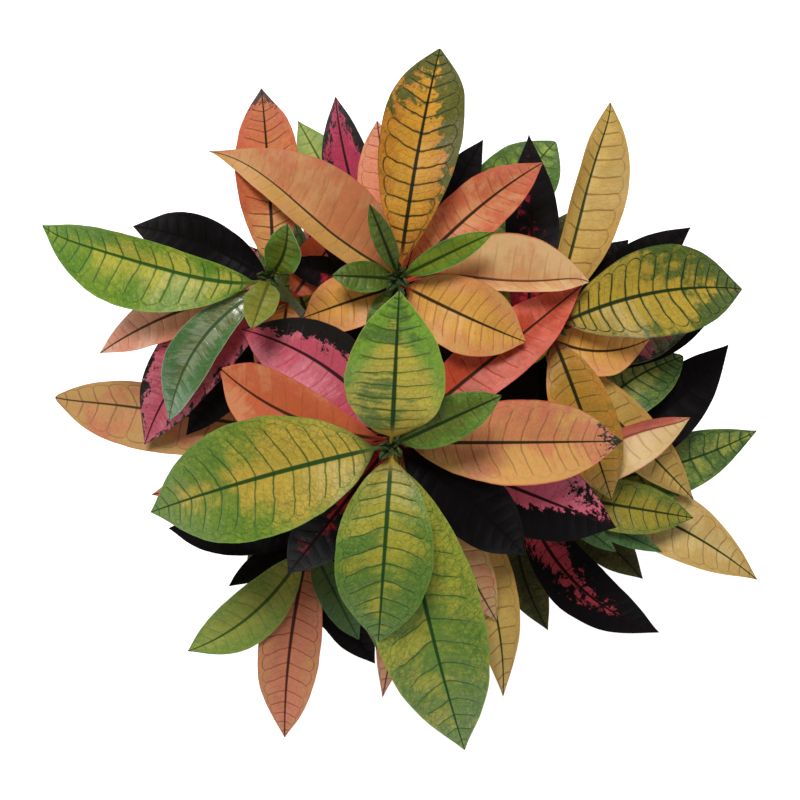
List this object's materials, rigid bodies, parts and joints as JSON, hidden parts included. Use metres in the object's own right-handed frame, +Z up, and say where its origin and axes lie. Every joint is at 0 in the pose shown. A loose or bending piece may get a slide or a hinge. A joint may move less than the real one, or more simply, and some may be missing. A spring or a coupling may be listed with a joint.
{
  "type": "potted croton",
  "caption": "Bushy variegated foliage plant in a plain round pot of soil, with leafy stems that fan arched, pointed leaves outward on all sides.",
  "frame": {"origin": "centre of the pot's flat underside, on the ground", "axes": "+Z up along the pot's axis, +Y towards the top of the picture, +X towards its right"},
  "size_m": [0.4747, 0.4539, 0.5904],
  "materials": {
    "pot": "matte",
    "soil": "matte",
    "front_stem": "satin",
    "front_stem_shoot": "satin",
    "back_stem": "satin",
    "back_stem_shoot": "satin",
    "left_stem": "satin",
    "left_stem_shoot": "satin",
    "right_stem": "satin",
    "right_stem_shoot": "satin",
    "low_right_stem": "satin",
    "low_left_stem": "satin"
  },
  "bodies": {
    "root": {"pot": "pot", "soil": "soil", "front_stem": "front_stem", "front_stem_shoot": "front_stem_shoot", "back_stem": "back_stem", "back_stem_shoot": "back_stem_shoot", "left_stem": "left_stem", "left_stem_shoot": "left_stem_shoot", "right_stem": "right_stem", "right_stem_shoot": "right_stem_shoot", "low_right_stem": "low_right_stem", "low_left_stem": "low_left_stem"}
  },
  "joints": []
}
